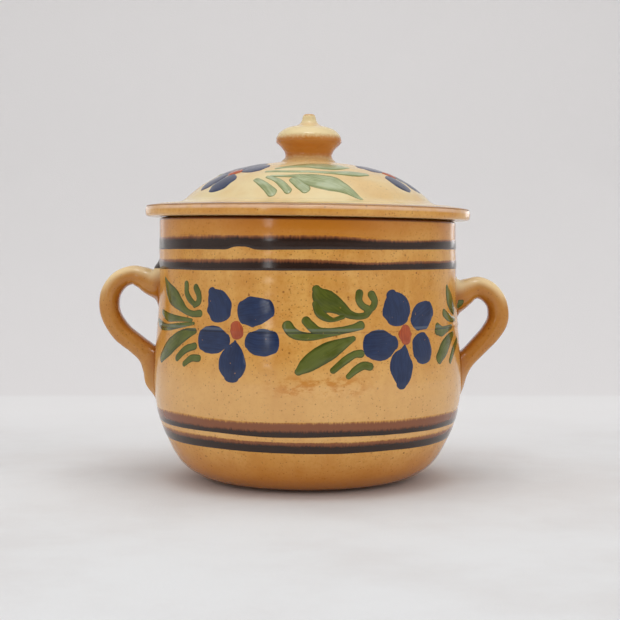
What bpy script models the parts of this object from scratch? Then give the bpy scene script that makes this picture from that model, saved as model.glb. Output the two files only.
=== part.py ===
"""Round lidded earthenware pot with two ear handles, as separate thrown and pulled pieces.

Pieces: pot_body, left_handle, right_handle, lid, lid_locating_ring, lid_knob.
Frame: the origin is the centre of the flat base, +Z is up, and the handles lie along X.
"""
import math

import bmesh
import bpy
from mathutils import Vector

# ---- Driving dimensions, in metres ----
FIT_GAP = 0.0003            # clearance that parts luted or resting pieces
TURN_STEPS = 56             # facets round a turned piece

RIM_HEIGHT = 0.1478
RIM_ROUND = 0.0024          # rounding of both rim corners
WALL = 0.0060               # thickness of the thrown wall
FLOOR = 0.0068              # thickness of the thrown floor
# Outside of the thrown body as (radius, height): upright wall, belly, rounded heel, flat base.
POT_OUTLINE = [
    (0.0843, RIM_HEIGHT - RIM_ROUND), (0.0843, 0.1280), (0.0848, 0.1060), (0.0861, 0.0850),
    (0.0873, 0.0690), (0.0878, 0.0560), (0.0868, 0.0450), (0.0843, 0.0335), (0.0804, 0.0240),
    (0.0772, 0.0175), (0.0734, 0.0115), (0.0686, 0.0070), (0.0611, 0.0028), (0.0500, 0.0),
]

LID_SEAT = RIM_HEIGHT + FIT_GAP     # height of the underside of the lid's flange
FLANGE_RADIUS = 0.0923
FLANGE_EDGE = 0.0064        # thickness of the flange at its outer edge
UPPER_EDGE_ROUND = 0.0026
LOWER_EDGE_ROUND = 0.0018
DOME_HEIGHT = 0.1800        # height of the flat at the crown that carries the knob
# Top of the lid as (radius, height): the crown's flat, the dome, its foot and the flange.
LID_CROWN = [
    (0.0, DOME_HEIGHT), (0.0175, DOME_HEIGHT), (0.0295, 0.1782), (0.0402, 0.1757),
    (0.0500, 0.1722), (0.0585, 0.1676), (0.0658, 0.1622), (0.0705, 0.1580), (0.0755, 0.1564),
    (0.0840, 0.1556),
]
# Hollow under the dome, from its mouth to its top.
LID_HOLLOW = [
    (0.0695, LID_SEAT), (0.0660, 0.1532), (0.0585, 0.1600), (0.0480, 0.1659),
    (0.0350, 0.1705), (0.0200, 0.1733), (0.0, 0.1742),
]

RING_RADIUS = 0.0756        # outside of the locating ring, inside the pot's mouth
RING_WALL = 0.0048
RING_DEPTH = 0.0092         # how far the ring reaches below the flange

KNOB_FOOT = DOME_HEIGHT + FIT_GAP
# Knob as (radius, height): a small nipple, a flattened bulb, a waist and a spreading foot.
KNOB_OUTLINE = [
    (0.0, 0.2078), (0.0026, 0.2076), (0.0036, 0.2063), (0.0042, 0.2040), (0.0054, 0.2022),
    (0.0075, 0.2011), (0.0110, 0.2003), (0.0150, 0.1985), (0.0178, 0.1956), (0.0187, 0.1926),
    (0.0183, 0.1911), (0.0160, 0.1889), (0.0142, 0.1867), (0.0133, 0.1842), (0.0139, 0.1823),
    (0.0158, 0.1808), (0.0164, KNOB_FOOT), (0.0, KNOB_FOOT),
]

# Widths of a pulled handle across its strap, from the upper root to the tip of the tail.
STRAP_WIDTH = 0.0160
UPPER_ROOT_WIDTH = 0.0250
LOWER_ROOT_WIDTH = 0.0185
TAIL_WIDTH = 0.0090
STRAP_SQUARENESS = 2.4      # exponent of the strap's superellipse section
STRAP_SIDES = 16
STEPS_PER_SPAN = 2          # sections between two points of a handle's spine

# Spine of each handle: distance from the pot's axis, height, thickness of the strap there.
LEFT_SPINE = [
    (0.0800, 0.1105, 0.0260), (0.0890, 0.1114, 0.0205), (0.0955, 0.1155, 0.0130),
    (0.1010, 0.1163, 0.0110), (0.1080, 0.1130, 0.0113), (0.1132, 0.1050, 0.0115),
    (0.1131, 0.0940, 0.0117), (0.1070, 0.0834, 0.0119), (0.0984, 0.0757, 0.0111),
    (0.0922, 0.0690, 0.0105), (0.0899, 0.0610, 0.0098), (0.0890, 0.0545, 0.0096),
    (0.0852, 0.0475, 0.0060),
]
RIGHT_SPINE = [
    (0.0800, 0.1036, 0.0270), (0.0882, 0.1042, 0.0215), (0.0925, 0.1078, 0.0142),
    (0.0975, 0.1090, 0.0129), (0.1040, 0.1060, 0.0125), (0.1086, 0.0995, 0.0121),
    (0.1091, 0.0905, 0.0123), (0.1046, 0.0823, 0.0118), (0.0972, 0.0742, 0.0111),
    (0.0905, 0.0668, 0.0104), (0.0876, 0.0600, 0.0090), (0.0862, 0.0520, 0.0068),
    (0.0835, 0.0455, 0.0040),
]

GLAZE_BODY = (0.61, 0.30, 0.09)
GLAZE_LID = (0.72, 0.49, 0.20)
GLAZE_HANDLE = (0.50, 0.24, 0.06)
GLAZE_INSIDE = (0.58, 0.30, 0.11)


# ---- Outlines ----
def arc(centre, radius, start, end, steps):
    """Points of an arc in the (radius, height) plane; angles in degrees from +X."""
    points = []
    for i in range(steps + 1):
        angle = math.radians(start + (end - start) * i / steps)
        points.append((centre[0] + radius * math.cos(angle), centre[1] + radius * math.sin(angle)))
    return points


def flowing(points, steps):
    """A Catmull-Rom curve through points of any dimension."""
    ends = [2 * Vector(points[0]) - Vector(points[1]), 2 * Vector(points[-1]) - Vector(points[-2])]
    knots = [ends[0]] + [Vector(p) for p in points] + [ends[1]]
    curve = []
    for i in range(1, len(knots) - 2):
        a, b, c, d = knots[i - 1:i + 3]
        for step in range(steps):
            t = step / steps
            curve.append(0.5 * ((2 * b) + (c - a) * t + (2 * a - 5 * b + 4 * c - d) * t ** 2
                                + (3 * b - a - 3 * c + d) * t ** 3))
    curve.append(knots[-2])
    return [tuple(p) for p in curve]


def offset(points, distance):
    """Move an outline that runs from top to bottom outwards by a distance."""
    moved = []
    for i, point in enumerate(points):
        before = Vector(points[max(i - 1, 0)])
        after = Vector(points[min(i + 1, len(points) - 1)])
        run = (after - before).normalized()
        moved.append((point[0] - run.y * distance, point[1] + run.x * distance))
    return moved


# ---- Mesh building ----
def collection(name):
    made = bpy.data.collections.new(name)
    bpy.context.scene.collection.children.link(made)
    return made


def glaze(name, colour, roughness):
    material = bpy.data.materials.new(name)
    material.use_nodes = True
    shader = material.node_tree.nodes["Principled BSDF"]
    shader.inputs["Base Color"].default_value = (*colour, 1.0)
    shader.inputs["Roughness"].default_value = roughness
    shader.inputs["Metallic"].default_value = 0.0
    material.diffuse_color = (*colour, 1.0)
    return material


def add_object(name, mesh, group, material):
    thing = bpy.data.objects.new(name, mesh)
    group.objects.link(thing)
    if material:
        mesh.materials.append(material)
    return thing


def turned(name, profile, group, material, closed=False):
    """Turn a (radius, height) profile about Z. Its outer side runs from top to bottom."""
    mesh = bpy.data.meshes.new(name)
    edges = [(i, i + 1) for i in range(len(profile) - 1)]
    if closed:
        edges.append((len(profile) - 1, 0))
    mesh.from_pydata([(r, 0.0, z) for r, z in profile], edges, [])
    thing = add_object(name, mesh, group, material)
    screw = thing.modifiers.new("turn", "SCREW")
    screw.axis = "Z"
    screw.angle = math.tau
    screw.steps = TURN_STEPS
    screw.render_steps = TURN_STEPS
    screw.use_merge_vertices = True
    screw.merge_threshold = 0.00002
    screw.use_smooth_shade = True
    return thing


def lerp_widths(fraction):
    """Strap width at a fraction of the way from the upper root to the tail's tip."""
    stations = [(0.0, UPPER_ROOT_WIDTH), (0.10, UPPER_ROOT_WIDTH), (0.24, STRAP_WIDTH),
                (0.64, STRAP_WIDTH), (0.78, LOWER_ROOT_WIDTH), (1.0, TAIL_WIDTH)]
    for (f0, w0), (f1, w1) in zip(stations, stations[1:]):
        if fraction <= f1:
            t = (fraction - f0) / (f1 - f0)
            return w0 + (w1 - w0) * t * t * (3 - 2 * t)
    return stations[-1][1]


def strap_mesh(name, spine, side):
    """Loft a pulled strap along its spine in the XZ plane; side is -1 for left, +1 for right."""
    path = flowing(spine, STEPS_PER_SPAN)
    bm = bmesh.new()
    rings = []
    for i, (reach, height, thickness) in enumerate(path):
        before = Vector(path[max(i - 1, 0)][:2])
        after = Vector(path[min(i + 1, len(path) - 1)][:2])
        tangent = (after - before).normalized()
        normal = Vector((-tangent.y, tangent.x))
        width = lerp_widths(i / (len(path) - 1))
        ring = []
        for k in range(STRAP_SIDES):
            angle = math.tau * k / STRAP_SIDES
            power = 2 / STRAP_SQUARENESS
            across = math.copysign(abs(math.cos(angle)) ** power, math.cos(angle)) * thickness / 2
            along = math.copysign(abs(math.sin(angle)) ** power, math.sin(angle)) * width / 2
            radial = reach + normal.x * across
            ring.append(bm.verts.new((side * radial, along, height + normal.y * across)))
        rings.append(ring)
    for lower, upper in zip(rings, rings[1:]):
        for k in range(STRAP_SIDES):
            nxt = (k + 1) % STRAP_SIDES
            bm.faces.new((lower[k], lower[nxt], upper[nxt], upper[k]))
    bm.faces.new(rings[0])
    bm.faces.new(rings[-1])
    bmesh.ops.recalc_face_normals(bm, faces=bm.faces)
    mesh = bpy.data.meshes.new(name)
    bm.to_mesh(mesh)
    bm.free()
    mesh.shade_smooth()
    return mesh


# ---- Pieces ----
def build_pot_body(group):
    """The thrown vessel: closed floor, rounded heel, upright wall and a flat lid seat."""
    rim_radius, top = POT_OUTLINE[0]
    inner_rim = rim_radius - WALL
    floor_edge = POT_OUTLINE[-1][0] - WALL
    wall = [point for point in offset(POT_OUTLINE, -WALL) if point[1] > FLOOR + 0.001]
    inside = [(0.0, FLOOR), (floor_edge, FLOOR)] + wall[::-1]
    rim_inside = arc((inner_rim + RIM_ROUND, top), RIM_ROUND, 180, 90, 3)[1:]
    rim_outside = arc((rim_radius - RIM_ROUND, top), RIM_ROUND, 90, 0, 3)[:-1]
    profile = inside + rim_inside + rim_outside + POT_OUTLINE + [(0.0, 0.0)]
    return turned("pot_body", profile, group, glaze("body_glaze", GLAZE_BODY, 0.2))


def build_envelope(group):
    """The filled outline of the pot, one gap larger, which trims the handles' roots."""
    outline = offset(POT_OUTLINE, FIT_GAP)
    height = outline[0][1]
    profile = [(0.0, height)] + outline + [(0.0, outline[-1][1])]
    cutter = turned("pot_envelope", profile, group, None)
    cutter.hide_render = True
    cutter.display_type = "WIRE"
    return cutter


def build_handle(name, spine, side, group, cutter, material):
    """A pulled strap bent into an ear, its roots and tail trimmed to the pot's wall."""
    handle = add_object(name, strap_mesh(name, spine, side), group, material)
    trim = handle.modifiers.new("trim_to_pot", "BOOLEAN")
    trim.operation = "DIFFERENCE"
    trim.object = cutter
    trim.solver = "EXACT"
    return handle


def build_lid(group):
    """The domed lid with a wide flat flange, hollow underneath."""
    upper = (FLANGE_RADIUS - UPPER_EDGE_ROUND, LID_SEAT + FLANGE_EDGE - UPPER_EDGE_ROUND)
    lower = (FLANGE_RADIUS - LOWER_EDGE_ROUND, LID_SEAT + LOWER_EDGE_ROUND)
    edge = arc(upper, UPPER_EDGE_ROUND, 80, 0, 4) + arc(lower, LOWER_EDGE_ROUND, 0, -90, 3)
    underside = [(RING_RADIUS, LID_SEAT), (RING_RADIUS - RING_WALL, LID_SEAT)]
    profile = LID_CROWN + edge + underside + LID_HOLLOW
    return turned("lid", profile, group, glaze("lid_glaze", GLAZE_LID, 0.2))


def build_locating_ring(group):
    """The ring under the flange that drops into the pot's mouth and keeps the lid centred."""
    top = LID_SEAT - FIT_GAP
    bottom = LID_SEAT - RING_DEPTH
    inner = RING_RADIUS - RING_WALL
    nose = RING_WALL / 2
    profile = ([(inner, top), (RING_RADIUS, top)]
               + arc((RING_RADIUS - nose, bottom + nose), nose, 0, -180, 6))
    return turned("lid_locating_ring", profile, group, glaze("ring_glaze", GLAZE_INSIDE, 0.4),
                  closed=True)


def build_knob(group):
    """The turned knob that is luted to the crown of the lid."""
    return turned("lid_knob", KNOB_OUTLINE, group, glaze("knob_glaze", GLAZE_HANDLE, 0.2))


def main():
    for thing in list(bpy.data.objects):
        bpy.data.objects.remove(thing, do_unlink=True)
    pot = collection("lidded_pot")
    cutters = collection("cutters")
    envelope = build_envelope(cutters)
    handle_glaze = glaze("handle_glaze", GLAZE_HANDLE, 0.2)
    build_pot_body(pot)
    build_handle("left_handle", LEFT_SPINE, -1, pot, envelope, handle_glaze)
    build_handle("right_handle", RIGHT_SPINE, 1, pot, envelope, handle_glaze)
    build_lid(pot)
    build_locating_ring(pot)
    build_knob(pot)


main()
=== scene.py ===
"""Looks of the round lidded pot: glazed walls, raised slip painting and a plain studio.

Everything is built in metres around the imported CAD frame. Azimuth is measured round the pot's
axis in degrees: 0 faces the front (-Y) and 90 faces the right handle (+X).
"""
import bisect
import math
import random

import bmesh
import bpy
from mathutils import Matrix, Vector, noise
from mathutils.bvhtree import BVHTree


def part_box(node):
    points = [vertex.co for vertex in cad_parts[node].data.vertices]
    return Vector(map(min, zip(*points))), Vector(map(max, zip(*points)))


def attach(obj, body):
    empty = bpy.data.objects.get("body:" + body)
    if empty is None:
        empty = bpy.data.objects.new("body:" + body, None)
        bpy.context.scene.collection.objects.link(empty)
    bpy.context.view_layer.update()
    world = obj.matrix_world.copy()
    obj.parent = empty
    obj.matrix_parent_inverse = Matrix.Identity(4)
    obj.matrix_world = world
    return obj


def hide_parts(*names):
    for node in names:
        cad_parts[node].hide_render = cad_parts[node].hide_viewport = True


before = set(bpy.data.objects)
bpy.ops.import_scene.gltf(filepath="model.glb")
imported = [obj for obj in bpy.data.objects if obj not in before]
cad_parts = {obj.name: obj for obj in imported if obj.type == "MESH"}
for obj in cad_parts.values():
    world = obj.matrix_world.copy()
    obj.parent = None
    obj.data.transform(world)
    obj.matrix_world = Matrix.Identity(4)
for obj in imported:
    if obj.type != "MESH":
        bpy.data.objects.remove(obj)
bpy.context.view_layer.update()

MM = 0.001

# ---- Sizes ----
TURN_SIDES = 256                # columns round a turned piece
OUTSIDE_STEP = 0.7 * MM         # spacing of rows on painted surfaces
INSIDE_STEP = 2.0 * MM
CHART_RADIUS = 86 * MM          # radius at which the frieze is drawn out flat
RIDGE_HEIGHT = 88.6 * MM        # the throwing line that runs through the frieze
SEAT_TILT = math.radians(0.8)   # the warped rim lets the lid lean to the right
SHEAR_FOOT = 108 * MM           # height at which the rim's warp begins
BARE_RADIUS = 50 * MM           # unglazed disc that the pot stands on
SLIP_THICKNESS = 0.40 * MM
HEART_THICKNESS = 0.75 * MM
LID_SLIP_THICKNESS = 0.60 * MM
SLIP_BURIED = 0.30 * MM         # how deep the slip is bedded in the glaze

POT_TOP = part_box("pot_body")[1].z
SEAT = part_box("lid")[0].z
FLANGE_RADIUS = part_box("lid")[1].x
KNOB_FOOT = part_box("lid_knob")[0].z
KNOB_BEDDING = 0.7 * MM         # how deep the knob's foot sits in the lid; closes the CAD's gap
OUTLINE_STEPS = 8               # points on each span of a turned piece's outline
LIP_STEP = 0.4 * MM             # spacing of rows round the pot's lip
EDGE_STEP = 0.35 * MM           # spacing of rows round the flange's edge

# Spine of each handle: distance from the axis, height and thickness of the strap, in mm.
LEFT_SPINE = [
    (79.0, 111.5, 29.0), (84.6, 112.1, 24.2), (89.6, 112.5, 16.3), (94.8, 114.8, 12.9),
    (100.6, 116.2, 11.2), (108.0, 113.0, 11.3), (113.2, 105.0, 11.5), (113.1, 94.0, 11.7),
    (107.0, 83.4, 11.9), (98.1, 76.0, 11.7), (91.5, 69.8, 12.4), (89.6, 61.4, 10.4),
    (89.0, 54.5, 9.0), (85.0, 47.5, 6.0),
]
RIGHT_SPINE = [
    (79.0, 103.6, 23.0), (84.6, 104.6, 20.8), (89.2, 106.2, 16.2), (93.6, 108.2, 13.4),
    (98.0, 109.0, 12.9), (104.0, 106.0, 12.5), (108.6, 99.5, 12.1), (109.1, 90.5, 12.3),
    (104.6, 82.3, 11.8), (97.2, 74.2, 11.1), (90.5, 66.8, 10.4), (87.6, 60.0, 9.0),
    (86.2, 52.0, 6.8), (83.5, 45.5, 4.0),
]
# Width of the strap at fractions of its length, in mm.
STRAP_WIDTHS = [(0.0, 24.0), (0.08, 23.0), (0.30, 15.5), (0.64, 15.5), (0.78, 17.5), (1.0, 8.0)]
HANDLE_FILLET = 2.6 * MM        # above and below a handle's roots
SIDE_FILLET = 3.0 * MM          # added to it at their sides
ROOT_DEPTH = 2.6 * MM           # how far a handle's ends reach into the wall

# ---- Painted motifs: brush strokes as (across, up, width) in mm from the motif's centre ----
FLOWER_A = [
    [(-16.6, 20.2, 5.4), (-15, 18, 10.6), (-13, 15.4, 14.8), (-11.6, 12, 16.8), (-10.6, 7.6, 13.6)],
    [(3, 9.4, 12.2), (7, 10, 15.8), (11, 10.4, 15.2), (15, 11.2, 12.4), (18.2, 12, 9.4)],
    [(7.2, -4.6, 9), (11.2, -5.6, 13.6), (16, -5.7, 14.2), (20.6, -5.6, 11.8)],
    [(-0.8, -5.6, 1.6), (-1.2, -9, 9.2), (-2, -14, 15.6), (-2.3, -18.6, 16), (-2.3, -22.4, 13.2),
     (-2.4, -24.6, 8.6)],
    [(-6.2, -5.4, 7.6), (-10.2, -5.2, 13.4), (-15, -5, 15), (-19.6, -5.2, 14), (-22.8, -5.4, 11)],
]
FLOWER_B = [
    [(-8, 21.4, 6.8), (-7, 19.2, 12.6), (-5.6, 16, 17.4), (-4.4, 12, 18.8), (-4, 8.2, 14.2)],
    [(8, 5.6, 9.4), (11, 8, 14), (14.6, 10, 15), (18.6, 12, 12), (21, 13, 9)],
    [(10.6, -2.6, 12), (12, -6, 15), (13.2, -10, 15), (13.6, -13, 12)],
    [(-0.4, -5.6, 1.4), (-0.9, -8.4, 6.4), (-2.2, -12, 13.2), (-2.8, -16.5, 15.6), (-2.8, -21, 13.4),
     (-3.2, -24.2, 9.6), (-3.6, -26, 6.4)],
    [(-7, -3.8, 7.6), (-11.6, -4.5, 14.4), (-16, -4.8, 16.6), (-20.2, -4.8, 15), (-22.6, -4.8, 12.4)],
]
HEART_A = [[(-0.9, 2.7, 6.2), (-0.2, 0.6, 7.8), (0.4, -2, 7)]]
HEART_B = [[(0.8, 3, 6), (0.4, 0.4, 9.6), (0.8, -2.8, 6.4)]]
FRONT_SPRAY = [
    [(-5, 21, 4.6), (-3.4, 18.2, 9), (0, 15, 12), (4.2, 13.2, 9.8), (8.2, 10.8, 7.2), (12.4, 8, 4.8),
     (17, 6.8, 3.6), (21.4, 7.4, 3.6), (23.6, 9.4, 3.4)],
    [(-5.2, 13.4, 4), (-3.2, 8.8, 5.2), (0.6, 6, 3.8), (4.4, 5.3, 2.4), (9, 6.8, 2.8)],
    [(18.2, 18.8, 4.4), (17.8, 15.2, 4), (20, 12, 3.8), (23.6, 10.6, 3.4)],
    [(25, 18, 4.6), (26.8, 14.6, 4), (25.6, 11.4, 3.8), (22, 9.6, 3)],
    [(18.6, 2.2, 5), (14, 0.8, 4), (4, -0.9, 4.2), (-3.6, -0.8, 4.8), (-7.6, 1.8, 5), (-10.4, 4.8, 4.8)],
    [(-20.2, 2.4, 5.6), (-17.4, -1.2, 5.8), (-13, -3, 4.8), (-7, -3.4, 4), (0, -2.6, 2.8), (7, -1.8, 1.8)],
    [(14.2, -4.6, 3), (9, -7, 6), (3, -10, 9.4), (-3.6, -13.6, 10), (-10, -18, 8.2), (-14.2, -21.4, 4)],
    [(18.2, -12.4, 4.4), (14.6, -12.8, 4), (9.6, -15.8, 4.2), (3.4, -20.8, 3.4)],
    [(23, -19.2, 4.4), (19.6, -18.6, 4.4), (15.4, -20.6, 4), (11.4, -24, 3)],
]
SIDE_SPRAY = [
    [(-21.4, 24.4, 2.4), (-17.4, 20.2, 7), (-12, 16.6, 10), (-6, 14, 10), (0, 10.8, 7), (6, 7.6, 4),
     (11.6, 6.4, 3.6), (17, 6.8, 4.2)],
    [(5, 22, 4.2), (5.4, 17.8, 4.2), (8.4, 14.2, 4), (12.2, 11.8, 3.2)],
    [(13.2, 20.4, 4.2), (15.8, 16.6, 4.2), (15.8, 13, 4), (12.6, 11, 3)],
    [(-24.5, 6, 3.4), (-15, 3.8, 5), (-3, 3.4, 3.4), (10.4, 3, 2)],
    [(-36, 1, 3), (-27, -1.2, 4.8), (-14, -1.8, 3.8), (0, -0.2, 3), (12.4, 1.4, 1.8)],
    [(13.4, -2.6, 3.4), (7, -4.4, 6), (-2, -8, 8.6), (-12, -13.4, 9.4), (-21, -19, 6)],
    [(14, -10.6, 4), (6.6, -12.8, 4.4), (-0.6, -17.6, 4)],
    [(17.6, -16.8, 4), (12, -17.2, 4), (6.4, -20.4, 3.2)],
]
HANDLE_SPRAY = [
    [(4.4, 23, 3.6), (6.8, 18.4, 9.6), (10.4, 14, 10), (14.6, 10.4, 6.6)],
    [(-1.6, 9.4, 4.8), (3.6, 7, 4.8), (10, 5.4, 3.6), (16, 5.2, 2.4)],
    [(-10.6, 1.2, 7), (-5.6, -0.4, 5.8), (0, 0.4, 4.2), (8, 1.4, 3)],
    [(10.6, -2.6, 3), (3, -5.6, 7), (-4, -10, 9), (-10.4, -15, 6.6)],
    [(19, -6.6, 3.4), (10, -11.4, 4.6), (3.4, -17, 3.6)],
]
LID_HEART = [[(-2.2, 0, 7), (0, 0.3, 8.6), (2.2, 0, 7)]]
LID_SPRAY = [
    [(-9.4, -3.6, 6), (-4.6, -1, 10.6), (2, 1.2, 12.4), (7.4, 2.2, 12.8), (12.4, 4.2, 9.2),
     (17.4, 6.6, 5), (22.4, 9.6, 2)],
    [(-12.6, -1, 5.4), (-9.6, 4, 5.4), (-7, 7, 6)],
    [(-32, -9, 3.4), (-28.4, -2.4, 4.4), (-24.4, 5.2, 5.4)],
    [(-26, -8.6, 2.4), (-20.6, -2, 3.8), (-16.2, 6.4, 4.4)],
    [(-24, -8.6, 1.8), (-16, -5.6, 2.2), (-10, -4.4, 3.2)],
    [(-26, -16, 2.4), (-14, -10.6, 2.8), (-4.6, -9, 3.4), (8, -8.4, 3.6), (20, -11.6, 6.4),
     (28, -15.4, 3)],
    [(-20.6, -18.6, 2.4), (-8, -20, 8), (0, -20.4, 13.6), (8, -20, 14.4), (14, -21, 10),
     (17.4, -21.8, 4.6)],
]
LID_PETAL = [(0, 4.2, 4), (0, 7.6, 11.4), (0.3, 12, 16), (0, 16.2, 13.4)]
LEFT_TURNS = (20, -50, -116, 180, 126)    # degrees from straight outwards, towards the front
RIGHT_TURNS = (46, -38, -98, 204, 150)
HANDLE_DAB = [[(-1.3, 0.2, 5), (1.3, -0.2, 5.6)]]
DAB_PLACE = (86.6, -13, 99.6)             # just in front of the right handle's root

# Motifs round the wall: name, strokes, (heart,) azimuth, height.
FLOWERS = [
    ("flower_front_left", FLOWER_A, HEART_A, -25.3, 88.6),
    ("flower_front_right", FLOWER_B, HEART_B, 36.4, 86.0),
    ("flower_back_right", FLOWER_A, HEART_B, 154.7, 88.0),
    ("flower_back_left", FLOWER_B, HEART_A, 216.4, 87.0),
]
SPRAYS = [
    ("spray_front", FRONT_SPRAY, 6.4, 89.5), ("spray_left_side", SIDE_SPRAY, -53.2, 90.2),
    ("spray_right_side", HANDLE_SPRAY, 61.4, 86.9), ("spray_back", FRONT_SPRAY, 186.4, 88.6),
    ("spray_right_back", SIDE_SPRAY, 126.8, 89.0), ("spray_left_back", HANDLE_SPRAY, 241.4, 87.6),
]
LID_FLOWERS = [
    ("lid_flower_left", -55, 1, LEFT_TURNS), ("lid_flower_right", 67, -1, RIGHT_TURNS),
    ("lid_flower_back", 186, 1, LEFT_TURNS),
]
LID_SPRAYS = [("lid_spray_front", 5), ("lid_spray_right", 127), ("lid_spray_left", -116)]
LID_FLOWER_RADIUS = 48.5
LID_SPRAY_RADIUS = 58

# Brown bands: name, lowest and highest edge in mm, share of the height that is dark.
BANDS = [
    ("band_upper_1", 130.6, 138.8, 0.74), ("band_upper_2", 119.9, 126.3, 0.66),
    ("band_lower_1", 33.6, 42.0, 0.36), ("band_lower_2", 24.6, 31.9, 0.62),
]
BRUSH_LIFT = 335.5              # azimuth where the brush left a notch in the top band's foot


# ---- Small maths ----
def flowing(points, steps):
    """Catmull-Rom curve through points of any dimension."""
    ends = [2 * Vector(points[0]) - Vector(points[1]), 2 * Vector(points[-1]) - Vector(points[-2])]
    knots = [ends[0]] + [Vector(p) for p in points] + [ends[1]]
    curve = []
    for i in range(1, len(knots) - 2):
        a, b, c, d = knots[i - 1:i + 3]
        for step in range(steps):
            t = step / steps
            curve.append(0.5 * ((2 * b) + (c - a) * t + (2 * a - 5 * b + 4 * c - d) * t ** 2
                                + (3 * b - a - 3 * c + d) * t ** 3))
    curve.append(knots[-2])
    return curve


def evenly(points, spacing):
    """Resample a polyline of 2D points at a spacing given by a function of the point."""
    result = [Vector(points[0])]
    left = spacing(points[0])
    for a, b in zip(points, points[1:]):
        run = (Vector(b) - Vector(a)).length
        done = 0.0
        while run - done > left:
            done += left
            result.append(Vector(a).lerp(Vector(b), done / run))
            left = spacing(result[-1])
        left -= run - done
    if (result[-1] - Vector(points[-1])).length > 0.0001:
        result.append(Vector(points[-1]))
    return result


def smooth(low, high, value):
    """Ease from 0 at low to 1 at high."""
    t = min(max((value - low) / (high - low), 0.0), 1.0)
    return t * t * (3 - 2 * t)


def between(stations, at):
    """Value at a place in a list of (place, value), eased between its stations."""
    for (x0, y0), (x1, y1) in zip(stations, stations[1:]):
        if at <= x1:
            return y0 + (y1 - y0) * smooth(x0, x1, at)
    return stations[-1][1]


def lookup(table, at):
    """Linear value at a place in a list of (place, value) sorted by place."""
    after = min(max(bisect.bisect_right(table, (at, math.inf)), 1), len(table) - 1)
    (x0, y0), (x1, y1) = table[after - 1], table[after]
    return y0 + (y1 - y0) * min(max((at - x0) / (x1 - x0), 0.0), 1.0)


def ripple(azimuth, height, seed, scale=1.0):
    """Smooth noise that closes round the pot, from about -1 to 1."""
    where = Vector((math.cos(azimuth) * scale, math.sin(azimuth) * scale, height + seed * 7.3))
    return noise.noise(where)


def direction(azimuth):
    """Outward direction at an azimuth in radians."""
    return Vector((math.sin(azimuth), -math.cos(azimuth), 0.0))


# ---- Reading the frame ----
def cad_runs(node):
    """Runs of (radius, height) points of a turned CAD node, along its edges in the +X half plane.

    The runs follow each other from the highest end on. A flat face has no edge there and parts two
    runs. A ring is one run.
    """
    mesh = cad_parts[node].data
    links = {}
    for edge in mesh.edges:
        ends = [mesh.vertices[i].co for i in edge.vertices]
        if all(abs(p.y) < 1e-6 and p.x > -1e-6 for p in ends):
            a, b = [(round(p.x, 5), round(p.z, 5)) for p in ends]
            if a != b:
                links.setdefault(a, set()).add(b)
                links.setdefault(b, set()).add(a)
    high_above = (0.0, 1.0)
    runs = []
    while links:
        tips = sorted(p for p in links if len(links[p]) == 1) or [max(links)]
        last = runs[-1][-1] if runs else high_above
        path = [min(tips, key=lambda p: math.dist(p, last))]
        onward = True
        while onward:
            onward = [p for p in sorted(links[path[-1]]) if p not in path]
            path.extend(onward[:1])
        runs.append(path)
        links = {p: links[p] for p in links if p not in path}
    return runs


def cad_outline(node):
    """Fine outline of a turned CAD node: smooth along its runs, straight between them and to the axis."""
    outline = [p for run in cad_runs(node) for p in flowing(run, OUTLINE_STEPS)]
    ends = [[Vector((0.0, p.y))] if p.x > 1e-6 else [] for p in (outline[0], outline[-1])]
    return ends[0] + outline + ends[1]


# ---- Mesh building ----
def add_piece(name, mesh, material, body, replaces=()):
    """Add a visual piece that rides a body and stands for the CAD nodes it replaces."""
    mesh.name = name
    thing = bpy.data.objects.new(name, mesh)
    bpy.context.scene.collection.objects.link(thing)
    mesh.materials.append(material)
    mesh.shade_smooth()
    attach(thing, body)
    if replaces:
        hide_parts(*replaces)
    return thing


def grid_mesh(name, rows, wrap, values=None):
    """A mesh from rows of points. A row of one point is a pole; values is {attribute: rows of numbers}."""
    mesh = bpy.data.meshes.new(name)
    points, starts = [], []
    for row in rows:
        starts.append(len(points))
        points.extend(row)
    faces = []
    for i in range(len(rows) - 1):
        upper, lower = rows[i], rows[i + 1]
        count = max(len(upper), len(lower))
        for k in range(count if wrap else count - 1):
            nxt = (k + 1) % count
            a, b, c, d = starts[i] + k, starts[i] + nxt, starts[i + 1] + nxt, starts[i + 1] + k
            if len(upper) == 1:
                faces.append((starts[i], c, d))
            elif len(lower) == 1:
                faces.append((a, b, starts[i + 1]))
            else:
                faces.append((a, b, c, d))
    mesh.from_pydata([tuple(p) for p in points], [], faces)
    for key, numbers in (values or {}).items():
        attribute = mesh.attributes.new(key, "FLOAT", "POINT")
        attribute.data.foreach_set("value", [n for row in numbers for n in row])
    mesh.validate()
    return mesh


def turned_mesh(name, profile, relief=None, values=None, sides=TURN_SIDES, closed=False):
    """Turn a fine (radius, height) profile whose outer side runs down, with a relief(azimuth, point, i)."""
    rows, numbers = [], {key: [] for key in (values or {})}
    last = len(profile) - 1
    for i, point in enumerate(profile):
        before, after = profile[max(i - 1, 0)], profile[min(i + 1, last)]
        run = (after - before).normalized()
        outward = Vector((-run.y, run.x))
        pole = point.x < 1e-6
        row = []
        for k in range(1 if pole else sides):
            azimuth = math.tau * k / sides
            lift = relief(azimuth, point, i) if relief and not pole else 0.0
            radius, height = point.x + outward.x * lift, point.y + outward.y * lift
            row.append(direction(azimuth) * radius + Vector((0, 0, height)))
        rows.append(row)
        for key, rule in (values or {}).items():
            numbers[key].append([rule(point, i)] * len(row))
    if closed:
        rows.append(rows[0])
    mesh = grid_mesh(name, rows, True, numbers if not closed else None)
    face_outwards(mesh, closed)
    return mesh


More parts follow.
